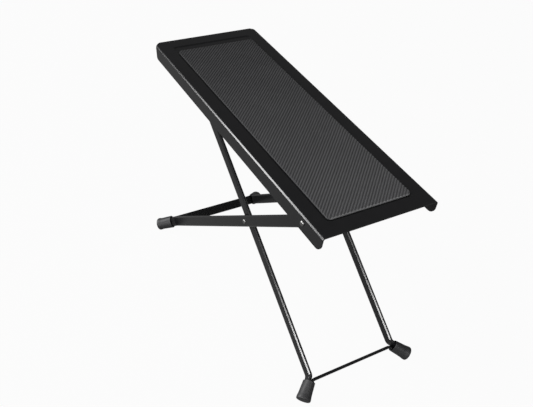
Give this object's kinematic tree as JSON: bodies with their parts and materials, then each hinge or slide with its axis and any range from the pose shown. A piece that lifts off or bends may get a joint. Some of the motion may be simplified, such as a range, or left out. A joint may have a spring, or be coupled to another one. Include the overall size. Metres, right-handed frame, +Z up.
{
  "type": "guitar footrest",
  "caption": "Folding guitar footrest: a tilted steel platform with a ribbed rubber mat on two crossed leg frames with rubber feet, set in height by a rod under notched racks.",
  "frame": {"origin": "middle of the bounding box on the floor", "axes": "+X along the platform towards its low end, +Y across to the far side, +Z up; the floor is z = 0"},
  "size_m": [0.2852, 0.1242, 0.1944],
  "materials": {
    "black_paint": "satin",
    "ribbed_rubber": "matte",
    "foot_rubber": "satin",
    "bright_steel": "polished",
    "zinc_plate": "satin"
  },
  "bodies": {
    "outer_frame": {"outer_arm_near": "black_paint", "outer_arm_far": "black_paint", "outer_cross_strip": "black_paint", "outer_foot_near": "foot_rubber", "outer_foot_far": "foot_rubber", "crossing_rivet_near": "bright_steel", "crossing_rivet_far": "bright_steel", "crossing_washer_near": "zinc_plate", "crossing_washer_far": "zinc_plate"},
    "platform": {"top_plate": "black_paint", "rubber_mat": "ribbed_rubber", "notch_rack_near": "zinc_plate", "notch_rack_far": "zinc_plate", "pivot_rivet_near": "bright_steel", "pivot_rivet_far": "bright_steel", "pivot_spacer_near": "zinc_plate", "pivot_spacer_far": "zinc_plate"},
    "inner_frame": {"inner_leg_near": "black_paint", "inner_leg_far": "black_paint", "locking_rod": "zinc_plate", "bottom_tie_rod": "black_paint", "inner_foot_near": "foot_rubber", "inner_foot_far": "foot_rubber"}
  },
  "joints": [
    {"name": "platform_fold", "type": "hinge", "parent": "outer_frame", "child": "platform", "pos_m": [0.10683, 0, 0.15828], "axis": [0, -1, 0], "range_deg": [-6.05, 40.37]},
    {"name": "inner_frame_fold", "type": "hinge", "parent": "outer_frame", "child": "inner_frame", "pos_m": [0.02189, 0, 0.10198], "axis": [0, -1, 0], "range_deg": [-11.05, 73.45]}
  ],
  "couplings": [
    {"joint": "inner_frame_fold", "follows": "platform_fold", "ratio": 1.8181}
  ]
}
